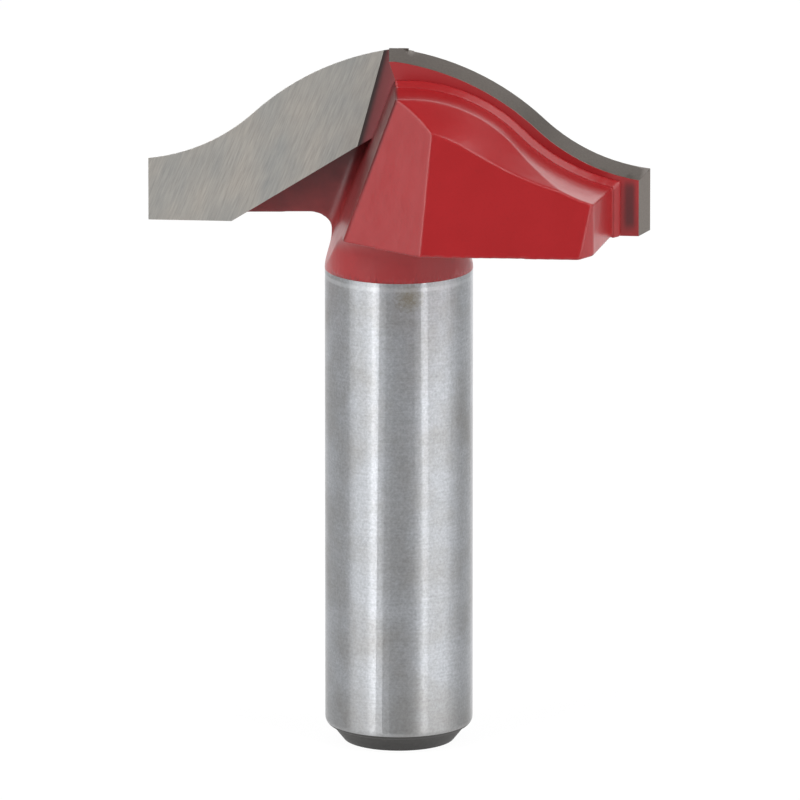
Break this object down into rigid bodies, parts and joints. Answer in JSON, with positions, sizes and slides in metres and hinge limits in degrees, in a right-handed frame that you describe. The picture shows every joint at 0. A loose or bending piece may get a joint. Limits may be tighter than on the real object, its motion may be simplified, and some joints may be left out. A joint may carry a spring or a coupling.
{
  "type": "router bit",
  "caption": "Ogee-profile plunge router bit: round-shank steel body with winged head and brazed carbide cutting tips.",
  "frame": {"origin": "centre of the shank's flat end face, on the axis of rotation", "axes": "+Z along the axis from the shank's end to the cutting head; +X along cutter 1; the cutting faces lie in the XZ plane"},
  "size_m": [0.0432, 0.0262, 0.0608],
  "materials": {
    "steel_body": "ground shank; head and neck coated in red enamel",
    "carbide": "ground tungsten carbide",
    "red_enamel": "gloss red enamel over silver solder"
  },
  "bodies": {
    "root": {"bit_body": "steel_body", "carbide_cutter_1": "carbide", "carbide_cutter_2": "carbide", "braze_1": "red_enamel", "braze_2": "red_enamel"}
  },
  "joints": []
}
